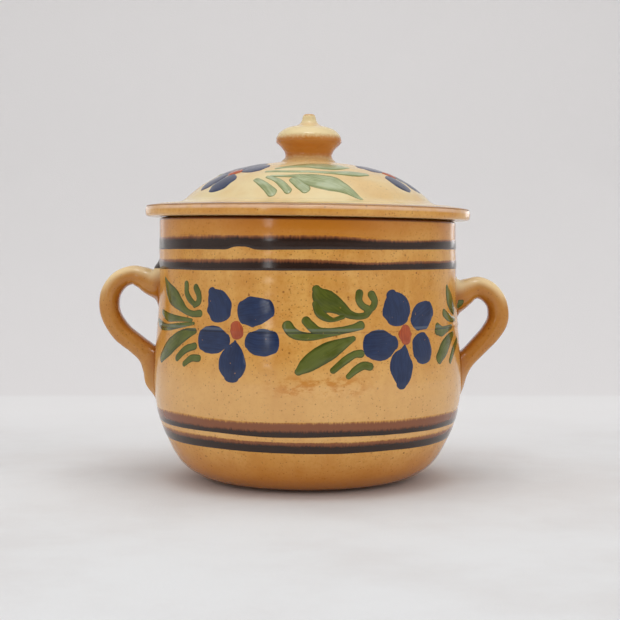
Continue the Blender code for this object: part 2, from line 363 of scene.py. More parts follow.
def face_outwards(mesh, weld=False):
    """Point the faces out, after joining points that coincide where asked."""
    bm = bmesh.new()
    bm.from_mesh(mesh)
    if weld:
        bmesh.ops.remove_doubles(bm, verts=bm.verts, dist=1e-6)
    bmesh.ops.recalc_face_normals(bm, faces=bm.faces)
    bm.to_mesh(mesh)
    bm.free()


def joined(name, meshes):
    """One mesh from several, keeping their attributes."""
    bm = bmesh.new()
    for mesh in meshes:
        bm.from_mesh(mesh)
    result = bpy.data.meshes.new(name)
    bm.to_mesh(result)
    bm.free()
    for mesh in meshes:
        bpy.data.meshes.remove(mesh)
    return result


# ---- Surfaces that carry paint ----
POT_OUTLINE = cad_outline("pot_body")
POT_LIP = max(range(len(POT_OUTLINE)), key=lambda k: POT_OUTLINE[k].y)
POT_WALL = sorted((p.y, p.x) for p in POT_OUTLINE[POT_LIP + 1:-1])
LID_OUTLINE = cad_outline("lid")
LID_TOP = []
for p in LID_OUTLINE:
    if LID_TOP and p.x <= LID_TOP[-1][0]:
        break
    LID_TOP.append((p.x, p.y))


def throwing(azimuth, height):
    """Relief left by the potter's fingers on the outside wall."""
    spiral = math.sin(math.tau * height / (7.4 * MM) + azimuth)
    soft = ripple(azimuth, height * 60, 1, 1.4)
    ridge = 0.24 * math.exp(-((height - RIDGE_HEIGHT) / (0.7 * MM)) ** 2)
    fade = smooth(0.004, 0.02, height) * (1 - smooth(0.140, 0.146, height))
    return (0.055 * spiral * (0.6 + ripple(azimuth, height * 90, 2)) + 0.28 * soft + ridge) * MM * fade


def on_wall(azimuth, height):
    """Point on the pot's outer wall and the normal there."""
    slope = (lookup(POT_WALL, height + MM) - lookup(POT_WALL, height - MM)) / (2 * MM)
    radius = lookup(POT_WALL, height) + throwing(azimuth, height)
    out = direction(azimuth)
    normal = (out - Vector((0, 0, slope))).normalized()
    return out * radius + Vector((0, 0, height)), normal


def on_lid(x, y):
    """Point on top of the lid above a place in plan, and the normal there."""
    radius = math.hypot(x, y)
    slope = (lookup(LID_TOP, radius + MM) - lookup(LID_TOP, radius - MM)) / (2 * MM)
    out = Vector((x, y, 0)) / max(radius, 1e-6)
    normal = (Vector((0, 0, 1)) - out * slope).normalized()
    return Vector((x, y, lookup(LID_TOP, radius))), normal


def wall_chart(azimuth, height):
    """Chart of the wall round a motif's centre, in mm across and up."""
    def place(u, v):
        return on_wall(math.radians(azimuth) + u * MM / CHART_RADIUS, (height + v) * MM)
    return place


def lid_chart(azimuth, radius):
    """Chart of the lid round a motif's centre, in mm across and outwards."""
    out = direction(math.radians(azimuth))
    across = Vector((-out.y, out.x, 0))

    def place(u, v):
        spot = out * (radius + v) * MM + across * u * MM
        return on_lid(spot.x, spot.y)
    return place


# ---- Brush strokes ----
CAP_STEPS = 5
ACROSS = 16


def stroke_stations(points, rng):
    """Stations (centre, sideways, half width, fullness) along a stroke, with round ends."""
    length = sum((Vector(a[:2]) - Vector(b[:2])).length for a, b in zip(points, points[1:]))
    steps = max(3, round(length / (len(points) - 1) / 1.1))
    path = flowing(points, steps)
    seed = rng.uniform(0, 90)
    stations = []
    for i, p in enumerate(path):
        run = (path[min(i + 1, len(path) - 1)] - path[max(i - 1, 0)]).to_2d().normalized()
        shake = 1 + 0.035 * noise.noise(Vector((i * 0.45, seed, 0)))
        stations.append([p.to_2d(), Vector((-run.y, run.x)), max(p.z, 0.6) / 2 * shake, 1.0])
    tips = []
    for end, sign in ((stations[0], -1), (stations[-1], 1)):
        centre, side, half, _ = end
        blunt = 1 - 0.5 * smooth(1.5, 5.0, half)
        onward = Vector((side.y, -side.x)) * sign * blunt
        cap = []
        for k in range(1, CAP_STEPS + 1):
            angle = math.pi / 2 * k / CAP_STEPS
            cap.append([centre + onward * half * math.sin(angle), side, half * math.cos(angle),
                        math.cos(angle)])
        tips.append(cap)
    return tips[0][::-1] + stations + tips[1]


def stroke_mesh(points, place, rng, thickness=SLIP_THICKNESS):
    """A closed, domed patch of slip along one brush stroke."""
    stations = stroke_stations(points, rng)
    widest = max(s[2] for s in stations)
    seed = rng.uniform(0, 90)
    top, bottom, edge, along, across = [], [], [], [], []
    run = 0.0
    for i, (centre, side, half, fullness) in enumerate(stations):
        if i:
            run += (centre - stations[i - 1][0]).length
        rows = ([], [], [], [], [])
        for k in range(ACROSS + 1):
            t = -math.cos(math.pi * k / ACROSS)
            ragged = 1 + 0.03 * noise.noise(Vector((run * 0.35, t * 1.5, seed)))
            spot = centre + side * half * t * ragged
            point, normal = place(spot.x, spot.y)
            body = math.sqrt(max(1 - t * t, 0.0)) * math.sqrt(max(fullness, 0.0))
            body *= min(1.0, 0.55 + 0.45 * half / widest)
            lump = 1 + 0.12 * noise.noise(Vector((spot.x * 0.22, spot.y * 0.22, seed)))
            rows[0].append(point + normal * (thickness * body * lump - 0.06 * MM))
            rows[1].append(point - normal * SLIP_BURIED)
            rows[2].append(1 - (1 - t * t) * fullness)
            rows[3].append(run)
            rows[4].append(t * half)
        for store, row in zip((top, bottom, edge, along, across), rows):
            store.append(row)
    mesh = bpy.data.meshes.new("stroke")
    bm = bmesh.new()
    layers = [bm.verts.layers.float.new(key) for key in ("edge", "along", "across")]
    upper = [[bm.verts.new(p) for p in row] for row in top]
    lower = [[bm.verts.new(p) for p in row] for row in bottom]
    mark = rng.uniform(0, 300)
    for i, pair in enumerate(zip(upper, lower)):
        for row in pair:
            for k, vert in enumerate(row):
                vert[layers[0]] = edge[i][k]
                vert[layers[1]] = along[i][k] + mark
                vert[layers[2]] = across[i][k]
    for i in range(len(upper) - 1):
        for k in range(ACROSS):
            bm.faces.new((upper[i][k], upper[i][k + 1], upper[i + 1][k + 1], upper[i + 1][k]))
            bm.faces.new((lower[i][k], lower[i + 1][k], lower[i + 1][k + 1], lower[i][k + 1]))
        for k in (0, ACROSS):
            bm.faces.new((upper[i][k], upper[i + 1][k], lower[i + 1][k], lower[i][k]))
    for i in (0, len(upper) - 1):
        for k in range(ACROSS):
            bm.faces.new((upper[i][k], lower[i][k], lower[i][k + 1], upper[i][k + 1]))
    bmesh.ops.remove_doubles(bm, verts=bm.verts, dist=2e-5)
    bmesh.ops.recalc_face_normals(bm, faces=bm.faces)
    bm.to_mesh(mesh)
    bm.free()
    return mesh


def painted(name, strokes, place, material, body, seed, thickness=SLIP_THICKNESS, wander=0.0):
    """A motif of several strokes as one piece. wander shifts each stroke by hand, in mm."""
    rng = random.Random(seed)
    meshes = []
    for points in strokes:
        du, dv = rng.uniform(-wander, wander), rng.uniform(-wander, wander)
        grow = 1 + rng.uniform(-wander, wander) * 0.08
        moved = [(u + du, v + dv, w * grow) for u, v, w in points]
        meshes.append(stroke_mesh(moved, place, rng, thickness))
    return add_piece(name, joined(name, meshes), material, body)


# ---- Materials. Places in them are in metres ----
def srgb(red, green, blue):
    """Linear colour of an sRGB one given from 0 to 255."""
    linear = []
    for value in (red, green, blue):
        c = value / 255
        linear.append(c / 12.92 if c <= 0.04045 else ((c + 0.055) / 1.055) ** 2.4)
    return (*linear, 1.0)


class Nodes:
    """A node tree with short ways to add nodes."""

    def __init__(self, tree):
        self.tree = tree

    def add(self, kind, inputs=None, **settings):
        made = self.tree.nodes.new(kind)
        for key, value in settings.items():
            setattr(made, key, value)
        for key, value in (inputs or {}).items():
            self.plug(made.inputs[key], value)
        return made

    def plug(self, socket, value):
        if isinstance(value, bpy.types.NodeSocket):
            self.tree.links.new(value, socket)
        else:
            socket.default_value = value

    def math(self, operation, a, b=0.0, clamp=False):
        return self.add("ShaderNodeMath", {0: a, 1: b}, operation=operation, use_clamp=clamp).outputs[0]

    def times(self, first, *others):
        for other in others:
            first = self.math("MULTIPLY", first, other)
        return first

    def shaken(self, value, noise, size):
        """A value made uneven by a noise round its middle."""
        return self.math("ADD", value, self.times(self.math("SUBTRACT", noise, 0.5), size))

    def off(self, value, middle):
        """Distance of a value from a middle one."""
        return self.math("ABSOLUTE", self.math("SUBTRACT", value, middle))

    def range(self, value, low, high, start=0.0, end=1.0):
        return self.add("ShaderNodeMapRange", {
            "Value": value, "From Min": low, "From Max": high, "To Min": start, "To Max": end},
            interpolation_type="SMOOTHSTEP").outputs[0]

    def split(self, vector):
        return self.add("ShaderNodeSeparateXYZ", {"Vector": vector}).outputs


class Graph(Nodes):
    """A material's node tree with one Principled shader."""

    def __init__(self, name):
        self.material = bpy.data.materials.new(name)
        self.material.use_nodes = True
        super().__init__(self.material.node_tree)
        self.tree.nodes.clear()
        self.shader = self.add("ShaderNodeBsdfPrincipled")
        output = self.add("ShaderNodeOutputMaterial")
        self.tree.links.new(self.shader.outputs["BSDF"], output.inputs["Surface"])
        self.where = self.add("ShaderNodeTexCoord").outputs["Object"]
        self.x, self.y, self.z = self.split(self.where)
        fall = self.math("MULTIPLY", self.x, math.tan(SEAT_TILT))
        self.level = self.math("ADD", self.z, fall)     # height above the leaning rim's zero

    def scaled(self, vector, scale):
        return self.add("ShaderNodeMapping", {"Vector": vector, "Scale": scale}).outputs[0]

    def noise(self, scale, detail=2.0, vector=None, rough=0.5, warp=0.0):
        made = self.add("ShaderNodeTexNoise", {
            "Vector": vector or self.where, "Scale": scale, "Detail": detail, "Roughness": rough,
            "Distortion": warp})
        return made.outputs["Fac"]

    def mix(self, share, a, b):
        made = self.add("ShaderNodeMix", data_type="RGBA")
        self.plug(made.inputs[0], share)
        self.plug(made.inputs[6], a)
        self.plug(made.inputs[7], b)
        return made.outputs[2]

    def attribute(self, name):
        return self.add("ShaderNodeAttribute", attribute_name=name).outputs["Fac"]

    def bump(self, height, distance, strength):
        made = self.add("ShaderNodeBump", {"Height": height, "Distance": distance, "Strength": strength})
        self.plug(self.shader.inputs["Normal"], made.outputs[0])


# Glaze.
OCHRE = srgb(217, 156, 70)
PALE = srgb(227, 172, 92)
# Painted light: floor bounce on the lower belly.
WALL_FLOOR_LIGHT = srgb(232, 188, 128)
# Painted light: the pale straw sheen of glaze that faces the light, on the lid's top and the knob.
STRAW_LIGHT = srgb(228, 211, 163)
# Painted light: the pale tops of the handles.
TOP_LIGHT_STRAW = srgb(238, 210, 158)
# Painted highlight: pink gleam on the flange's rounded edge.
EDGE_HIGHLIGHT = srgb(238, 204, 178)
AMBER = srgb(194, 122, 34)
DEEP_AMBER = srgb(160, 90, 12)
# Painted shade: amber at the heel.
HEEL_SHADE = srgb(190, 114, 24)
SMEAR_AMBER = srgb(196, 120, 30)
KNOB_AMBER = srgb(186, 108, 4)
RIM_AMBER = srgb(194, 118, 22)
# Painted shadow: the dark gap under the lid's flange.
RIM_SHADOW = srgb(92, 40, 10)
SPECK = srgb(134, 74, 22)
BISCUIT = srgb(196, 132, 92)
BISCUIT_DARK = srgb(170, 104, 66)
# Slip.
BROWN = srgb(44, 25, 14)
RUSSET = srgb(134, 78, 46)
LINE_BROWN = srgb(86, 44, 40)
# Pale pink of the lid line: wear in its breaks, painted highlight on its outer strip.
LINE_WEAR_AND_HIGHLIGHT = srgb(222, 176, 132)
BLUE = srgb(38, 54, 90)
BLUE_DARK = srgb(27, 36, 64)
RIDGE_SHADE = srgb(20, 22, 34)
RIDGE_LIGHT = srgb(150, 160, 170)
GREEN = srgb(92, 99, 28)
GREEN_DARK = srgb(58, 66, 4)
GREEN_THICK = srgb(106, 114, 54)
# Painted light: a paler copy of the green slip for the lid's top, which faces the overhead light.
LID_GREEN_LIT = srgb(166, 174, 130)
LID_GREEN_LIT_DARK = srgb(112, 122, 66)
LID_GREEN_LIT_THICK = srgb(186, 194, 162)
RED = srgb(184, 84, 40)
RED_DARK = srgb(146, 62, 36)
# Cloth.
CLOTH = srgb(224, 224, 224)
CLOTH_CLOUD = srgb(217, 215, 214)
# Painted light and shade on the cloth.
CLOTH_LIT_BEHIND = srgb(236, 234, 233)
CLOTH_FOLD_SHADE = srgb(226, 222, 221)
CLOTH_LIT_HIGH = srgb(234, 231, 230)


def ochre_glaze(g, depth=0.0):
    """Colour of the yellow glaze over the clay: clouds, blots, runs, pooling and iron specks."""
    clouds = g.range(g.noise(17, 3, warp=0.6), 0.36, 0.66)
    blots = g.range(g.noise(95, 4, rough=0.6), 0.42, 0.66)
    runs = g.range(g.noise(1.0, 3, g.scaled(g.where, (95, 95, 16))), 0.40, 0.72)
    grain = g.range(g.noise(520, 3, rough=0.65), 0.46, 0.68)
    colour = g.mix(clouds, OCHRE, PALE)
    colour = g.mix(g.times(runs, 0.28), colour, AMBER)
    colour = g.mix(g.times(blots, 0.30), colour, AMBER)
    colour = g.mix(g.times(grain, 0.34), colour, AMBER)
    if depth:
        colour = g.mix(depth, colour, DEEP_AMBER)
    colour = specks(g, colour, 640.0, 0.50, 0.75)
    return specks(g, colour, 330.0, 0.80, 0.85)


def specks(g, colour, scale, rarity, strength):
    """Iron specks: one in some of the cells."""
    cells = g.add("ShaderNodeTexVoronoi", {"Vector": g.where, "Scale": scale, "Randomness": 1.0})
    dots = g.range(cells.outputs["Distance"], 0.10, 0.28, 1.0, 0.0)
    lot = g.add("ShaderNodeSeparateColor", {"Color": cells.outputs["Color"]}).outputs[0]
    chosen = g.range(lot, rarity, rarity + 0.16)
    return g.mix(g.times(dots, chosen, strength), colour, SPECK)


def fired(g, colour, roughness=0.16, relief=None):
    """The material finished as a glossy glaze with faint orange peel, plus a relief where given."""
    g.plug(g.shader.inputs["Base Color"], colour)
    g.plug(g.shader.inputs["Roughness"], roughness)
    g.shader.inputs["IOR"].default_value = 1.52
    height = g.times(g.noise(230, 2), 0.5)
    if relief is not None:
        height = g.math("ADD", height, relief)
    g.bump(height, 0.00012, 0.55)
    return g.material


def under_rim(g, colour):
    """Amber below the rim, most at the front, and a painted shadow line where the lid's flange overhangs
    the rim.
    """
    front = g.range(g.off(g.x, 0.0), 0.020, 0.066, 1.0, 0.55)
    share = g.times(g.range(g.z, 0.128, 0.144, 0.0, 0.92), front)
    colour = g.mix(share, colour, RIM_AMBER)
    # Painted shadow: a dark line in the gap under the lid's flange.
    return g.mix(g.range(g.level, 0.1457, 0.1467, 0.0, 0.90), colour, RIM_SHADOW)


def wall_material():
    """Glaze of the vessel: amber under the rim, painted floor light low down, painted shade as amber at the
    heel, darker inside.
    """
    g = Graph("body_glaze")
    colour = ochre_glaze(g)
    # Painted light: the lower belly paler, where the floor's bounce lights it.
    floor_light = g.times(g.range(g.z, 0.080, 0.056, 0.0, 0.48), g.range(g.z, 0.022, 0.036))
    colour = g.mix(floor_light, colour, WALL_FLOOR_LIGHT)
    colour = specks(g, colour, 470.0, 0.55, 0.50)
    colour = under_rim(g, colour)
    # Painted shade: amber darkening towards the heel, where the wall turns under.
    colour = g.mix(g.range(g.z, 0.030, 0.004, 0.0, 0.88), colour, HEEL_SHADE)
    colour = g.mix(g.times(smear(g), 0.7), colour, SMEAR_AMBER)
    # Painted shade under the throwing ridge.
    colour = g.mix(g.times(ridge_shade_line(g), 0.30), colour, DEEP_AMBER)
    colour = g.mix(g.times(g.attribute("inside"), 0.55), colour, DEEP_AMBER)
    bare = g.attribute("bare")
    clay = g.mix(g.noise(60, 4), BISCUIT, BISCUIT_DARK)
    colour = g.mix(bare, colour, clay)
    return fired(g, colour, g.range(bare, 0.0, 1.0, 0.16, 0.85))


def ridge_shade_line(g):
    """Painted shade along the line just under the throwing ridge."""
    return g.range(g.off(g.z, RIDGE_HEIGHT - 0.6 * MM), 0.0, 0.6 * MM, 1.0, 0.0)


def ridge_gleam(g):
    """Painted highlight on the lit side of the throwing ridge."""
    return g.range(g.off(g.z, RIDGE_HEIGHT + 0.8 * MM), 0.3 * MM, 1.0 * MM, 1.0, 0.0)


def smear(g):
    """Blotchy thicker glaze on the front, below the frieze."""
    across = g.range(g.off(g.x, 0.006), 0.012, 0.036, 1.0, 0.0)
    up = g.range(g.off(g.z, 0.0605), 0.002, 0.008, 1.0, 0.0)
    front = g.range(g.y, -0.05, -0.07)
    blot = g.range(g.noise(210, 4, g.scaled(g.where, (0.6, 1, 1.3)), rough=0.7), 0.44, 0.60)
    return g.times(across, up, front, blot)


def lid_material():
    """Glaze of the lid, with painted light: straw sheen on top, straw under the overhang for light from
    below, and a painted pink highlight along the flange's edge.
    """
    g = Graph("lid_glaze")
    colour = ochre_glaze(g)
    # Painted sheen: straw over the top of the lid, where the overhead light falls.
    cover = g.range(g.noise(30, 3), 0.34, 0.66, 0.92, 0.52)
    colour = g.mix(g.times(g.range(g.level, 0.1540, 0.1556), cover), colour, STRAW_LIGHT)
    # Painted light: straw on the flange's underside, where light from the floor below falls.
    colour = g.mix(g.times(g.attribute("overhang_light"), 0.85), colour, STRAW_LIGHT)
    # Painted highlight: a patchy pink band along the flange's edge, below the brown line.
    patchy = g.range(g.noise(60, 3), 0.30, 0.60, 0.25, 0.60)
    edge_gleam = g.times(g.range(g.level, 0.1512, 0.1524), g.range(g.level, 0.1542, 0.1534), patchy)
    colour = g.mix(edge_gleam, colour, EDGE_HIGHLIGHT)
    colour = g.mix(g.times(g.attribute("inside"), 0.5), colour, AMBER)
    return fired(g, colour)


def handle_material():
    """Glaze of the pulled handles: deep amber in the creases for pooled glaze and painted shade, painted
    light on top and at the lower ends, brown where a band overlaps.
    """
    g = Graph("handle_glaze")
    colour = ochre_glaze(g, 0.46)
    crease_pool_and_shade = g.attribute("crease_pool_and_shade")
    # Deep amber for glaze pooled by the wall and painted shade on the straps' inner sides.
    colour = g.mix(g.times(crease_pool_and_shade, 0.85), colour, DEEP_AMBER)
    # Painted light: upward-facing parts of the straps paler, where the light from above falls.
    colour = g.mix(g.times(g.attribute("top_light"), 0.92), colour, TOP_LIGHT_STRAW)
    # Painted light: the straps' lower ends paler, where the floor's bounce lights them.
    colour = g.mix(g.range(g.z, 0.070, 0.048, 0.0, 0.45), colour, PALE)
    near = g.times(g.range(g.x, -0.0912, -0.0900), g.range(g.x, -0.070, -0.080))
    overlap = g.times(g.range(g.z, 0.1196, 0.1204), near)
    colour = g.mix(overlap, colour, BROWN)
    return fired(g, colour)


def knob_material():
    """Glaze of the knob: painted sheen towards the top, amber pooled in the waist with painted shade under
    the disc, amber round the nipple and in its dip.
    """
    g = Graph("knob_glaze")
    # Painted sheen: the knob grows paler towards its top, where the overhead light falls.
    colour = g.mix(g.range(g.z, 0.1780, 0.1960, 0.35, 0.85), ochre_glaze(g), STRAW_LIGHT)
    level = g.shaken(g.z, g.noise(800, 4, rough=0.7), 0.004)
    # Glaze pooled in the waist, with painted shade under the knob's disc.
    below = g.times(g.range(level, 0.1962, 0.1926), g.range(level, 0.1812, 0.1850))
    ring = g.times(g.range(g.z, 0.1995, 0.2008), g.range(g.z, 0.2035, 0.2018))
    dip = g.times(g.range(g.z, 0.2062, 0.2074), 0.6)
    pooled_and_shade = g.math("ADD", g.math("ADD", below, g.times(ring, 0.25)), dip, clamp=True)
    colour = g.mix(g.times(pooled_and_shade, 0.92), colour, KNOB_AMBER)
    return fired(g, colour)


def slip_material(name, main, dark, thin_share, centre=None, ridged=True):
    """Painted slip under glaze: brushed streaks, thin edges where the ochre shows, pinholes."""
    g = Graph(name)
    stroke = g.add("ShaderNodeCombineXYZ", {"X": g.attribute("along"), "Y": g.attribute("across")})
    streaks = g.range(g.noise(1.0, 3, g.scaled(stroke.outputs[0], (0.10, 1.2, 1))), 0.35, 0.70)
    mottle = g.range(g.noise(160, 3), 0.38, 0.70)
    edge = g.attribute("edge")
    colour = g.mix(g.times(streaks, 0.6), main, dark)
    colour = g.mix(g.times(mottle, 0.40), colour, dark)
    if centre:
        thick = g.times(g.range(edge, 0.75, 0.25), g.range(g.noise(75, 3), 0.38, 0.62))
        colour = g.mix(g.times(thick, 0.6), colour, centre)
        colour = g.mix(g.times(g.range(edge, 0.45, 0.90), 0.75), colour, dark)
    if ridged:
        # Painted shade under the throwing ridge and a painted highlight above it.
        colour = g.mix(g.times(ridge_shade_line(g), 0.75), colour, RIDGE_SHADE)
        colour = g.mix(g.times(ridge_gleam(g), 0.22), colour, RIDGE_LIGHT)
    thin = g.times(g.range(edge, 0.93, 1.0), thin_share)
    pinholes = g.range(g.noise(620, 1), 0.750, 0.800, 0.0, 0.35)
    colour = g.mix(g.math("MAXIMUM", thin, pinholes), colour, OCHRE)
    return fired(g, colour, relief=g.times(streaks, -0.25))


def band_material(name, dark_share):
    """Brown slip band: dark at its lower edge, russet and streaky above, fading into the ochre."""
    g = Graph(name)
    across = g.attribute("across")
    streaky = g.noise(1.0, 4, g.scaled(g.where, (900, 900, 170)), rough=0.6)
    broad = g.noise(22, 2)
    level = g.shaken(g.shaken(across, streaky, 0.36), broad, 0.22)
    colour = g.mix(g.range(level, dark_share - 0.10, dark_share + 0.14), BROWN, RUSSET)
    faded = g.range(level, 0.80, 1.0)
    colour = g.mix(faded, colour, under_rim(g, ochre_glaze(g)))
    return fired(g, colour)


def line_material():
    """The lid's worn brown line, broken up, and fading outwards into a painted highlight along the flange's
    rounded edge.
    """
    g = Graph("lid_line")
    broken = g.range(g.noise(60, 3), 0.34, 0.60, 0.80, 1.0)
    rub = g.range(g.noise(420, 2), 0.30, 0.55, 0.75, 1.0)
    # Outwards the line gives way to painted highlight on the flange's rounded edge.
    inner = g.range(g.attribute("across"), 0.98, 0.86)
    colour = g.mix(g.times(broken, inner, rub), LINE_WEAR_AND_HIGHLIGHT, LINE_BROWN)
    return fired(g, colour)


# ---- The pot's own pieces ----
def warp(mesh):
    """Lean the top of the vessel's wall with its rim, which sits a little lower on the right."""
    for vertex in mesh.vertices:
        share = smooth(SHEAR_FOOT, POT_TOP, vertex.co.z)
        vertex.co.z -= vertex.co.x * math.tan(SEAT_TILT) * share


def lean(mesh):
    """Lay a lid mesh on the leaning rim."""
    seat = Matrix.Translation((0, 0, SEAT))
    mesh.transform(seat @ Matrix.Rotation(SEAT_TILT, 4, "Y") @ seat.inverted())


def build_vessel():
    """The thrown vessel: swirled floor, grooved inside, lip, finely ridged outside and bare foot."""
    def spacing(plain):
        return lambda p: LIP_STEP if p[1] > POT_TOP - 4 * MM else plain(p)

    inner = evenly(POT_OUTLINE[:POT_LIP + 1], spacing(lambda p: INSIDE_STEP))
    outer = evenly(POT_OUTLINE[POT_LIP:],
                   spacing(lambda p: OUTSIDE_STEP if p[0] > 62 * MM else INSIDE_STEP))
    profile = inner[:-1] + outer
    turn = len(inner) - 1

    def relief(azimuth, point, i):
        if i >= turn:
            return throwing(azimuth, point.y)
        rise = smooth(0.012, 0.03, point.y) * (1 - smooth(0.138, 0.146, point.y))
        groove = math.sin(math.tau * point.y / (9.5 * MM) + azimuth)
        swirl = math.sin(math.tau * point.x / (11 * MM) + azimuth) * smooth(0.004, 0.012, point.x)
        floor = 1 - smooth(0.008, 0.014, point.y)
        return (0.32 * groove * rise + 0.30 * swirl * floor) * MM

    def inside(point, i):
        return 1 - smooth(turn - 6, turn + 1, i)

    def bare(point, i):
        return (1 - smooth(BARE_RADIUS - MM, BARE_RADIUS + MM, point.x)) if i > turn else 0.0

    mesh = turned_mesh("pot_shell", profile, relief, {"inside": inside, "bare": bare})
    warp(mesh)
    return add_piece("pot_shell", mesh, wall_material(), "pot", ["pot_body"])


def build_lid():
    """The thrown lid: dome, flange and hollow."""
    def spacing(edge, plain):
        return lambda p: EDGE_STEP if p[0] > FLANGE_RADIUS - edge else plain

    widest = max(range(len(LID_OUTLINE)), key=lambda k: LID_OUTLINE[k].x)
    upper = evenly(LID_OUTLINE[:widest + 1], spacing(4 * MM, 0.8 * MM))
    under = evenly(LID_OUTLINE[widest:], spacing(3 * MM, 1.3 * MM))
    turn = len(upper) - 1

    def relief(azimuth, point, i):
        calm = smooth(0.016, 0.024, point.x) * (1 - smooth(0.084, 0.089, point.x))
        ring = math.sin(math.tau * point.x / (8.2 * MM) + azimuth)
        size = 0.07 if i <= turn else 0.22
        return (size * ring + 0.10 * ripple(azimuth, point.x * 60, 5, 1.6)) * MM * calm

    def inside(point, i):
        return 1 - smooth(0.0845, 0.0875, point.x) if i > turn else 0.0

    # Mask for the painted light from below on the flange's underside.
    def overhang_light(point, i):
        return smooth(0.0845, 0.0875, point.x) * smooth(turn + 6, turn + 12, i)

    mesh = turned_mesh("lid_shell", upper[:-1] + under, relief, {"inside": inside, "overhang_light": overhang_light})
    lean(mesh)
    return add_piece("lid_shell", mesh, LID_GLAZE, "lid", ["lid"])


def build_locating_ring():
    """The ring under the lid that keeps it centred in the mouth."""
    loop = cad_runs("lid_locating_ring")[0]
    fine = evenly(flowing([Vector(p) for p in loop + loop[:1]], 6), lambda p: 0.7 * MM)[:-1]
    mesh = turned_mesh("locating_ring", fine, closed=True)
    lean(mesh)
    return add_piece("locating_ring", mesh, LID_GLAZE, "lid", ["lid_locating_ring"])


def build_knob():
    """The turned knob, its foot pressed into the lid."""
    fine = evenly(cad_outline("lid_knob"), lambda p: 0.45 * MM)

    def relief(azimuth, point, i):
        groove = math.sin(math.tau * point.y / (3.1 * MM) + azimuth)
        return 0.05 * MM * groove * smooth(0.008, 0.013, point.x)

    mesh = turned_mesh("knob", fine, relief, sides=128)
    for vertex in mesh.vertices:
        vertex.co.z -= KNOB_BEDDING * (1 - smooth(0, 1.5 * MM, vertex.co.z - KNOB_FOOT))
    lean(mesh)
    return add_piece("knob", mesh, knob_material(), "lid", ["lid_knob"])


def build_handle(name, spine, side, material, replaces):
    """A pulled strap with a thumb groove, flared where it is luted to the wall."""
    path = flowing(spine, 10)
    sides = 56
    rows, crease_pool_and_shade, top_light = [], [], []
    power = 2 / 2.35
    for i, (reach, height, thickness) in enumerate(path):
        run = (path[min(i + 1, len(path) - 1)] - path[max(i - 1, 0)]).to_2d().normalized()
        lean_out = Vector((-run.y, run.x))
        width = between(STRAP_WIDTHS, i / (len(path) - 1))
        row, marks, top_lights = [], [], []
        for k in range(sides):
            angle = math.tau * k / sides
            c, s = math.cos(angle), math.sin(angle)
            out = math.copysign(abs(c) ** power, c) * thickness / 2
            wide = math.copysign(abs(s) ** power, s) * width / 2
            groove = 0.5 * math.exp(-(wide / (0.20 * width)) ** 2) * (c > 0)
            wobble = 0.18 * noise.noise(Vector((i * 0.07, c * 0.8, s * 0.8 + 9 * side)))
            out += wobble * c - groove * smooth(0, 0.25, abs(c))
            wide += wobble * s
            radial = reach + lean_out.x * out
            point = Vector((side * radial, wide, height + lean_out.y * out)) * MM
            outward = Vector((side * lean_out.x * c, s, lean_out.y * c))
            point, depth = flare(point, outward)
            row.append(point)
            marks.append(depth)
            # Painted light mask: how far the strap faces up, on its upper arm.
            top_lights.append(smooth(-0.10, 0.55, outward.z) * smooth(92, 104, height))
        rows.append(row)
        crease_pool_and_shade.append(marks)
        top_light.append(top_lights)
    first, last = sum(rows[0], Vector()) / sides, sum(rows[-1], Vector()) / sides
    rows = [[first]] + rows + [[last]]
    values = {"crease_pool_and_shade": [[0.0]] + crease_pool_and_shade + [[0.0]], "top_light": [[0.0]] + top_light + [[0.0]]}
    mesh = grid_mesh(name, rows, True, values)
    face_outwards(mesh)
    return add_piece(name, mesh, material, "pot", [replaces])


def flare(point, outward):
    """Spread a strap point near the wall into a fillet. Returns the point and its share of deep amber:
    glaze pooled by the wall, and painted shade on the strap's inner side.
    """
    azimuth = math.atan2(point.x, -point.y)
    radius = math.hypot(point.x, point.y)
    height = min(max(point.z, 0.006), POT_TOP - 0.004)
    clear = radius - lookup(POT_WALL, height)
    if clear < -ROOT_DEPTH:
        point = point + direction(azimuth) * (-ROOT_DEPTH - clear)
        clear = -ROOT_DEPTH
    sideways = outward - direction(azimuth) * outward.dot(direction(azimuth))
    fillet = HANDLE_FILLET + SIDE_FILLET * abs(sideways.y)
    if clear < fillet:
        gap = min(fillet - clear, fillet)
        spread = fillet - math.sqrt(max(fillet ** 2 - gap ** 2, 0.0))
        point = point + sideways * min(spread, 0.66 * fillet)
    # Painted shade: the strap's inner side, facing the wall.
    inner = smooth(0.0, -0.9, outward.dot(direction(azimuth)))
    pooled_and_shade = max(1 - smooth(0.0, 6 * MM, clear), 0.62 * inner)
    return point, pooled_and_shade


def slip_ring(name, rows_up, place):
    """A closed ring of slip. place(azimuth, share) gives a spot, the normal there and the lift in mm."""
    top, bottom, across = [], [], []
    for j in range(rows_up + 1):
        share = j / rows_up
        spots = [place(math.tau * k / TURN_SIDES, share) for k in range(TURN_SIDES)]
        top.append([point + normal * (lift - 0.03) * MM for point, normal, lift in spots])
        bottom.append([point - normal * SLIP_BURIED for point, normal, lift in spots])
        across.append([share] * TURN_SIDES)
    rows = top + bottom[::-1]
    values = across + across[::-1]
    mesh = grid_mesh(name, rows + rows[:1], True, {"across": values + values[:1]})
    face_outwards(mesh, True)
    return mesh


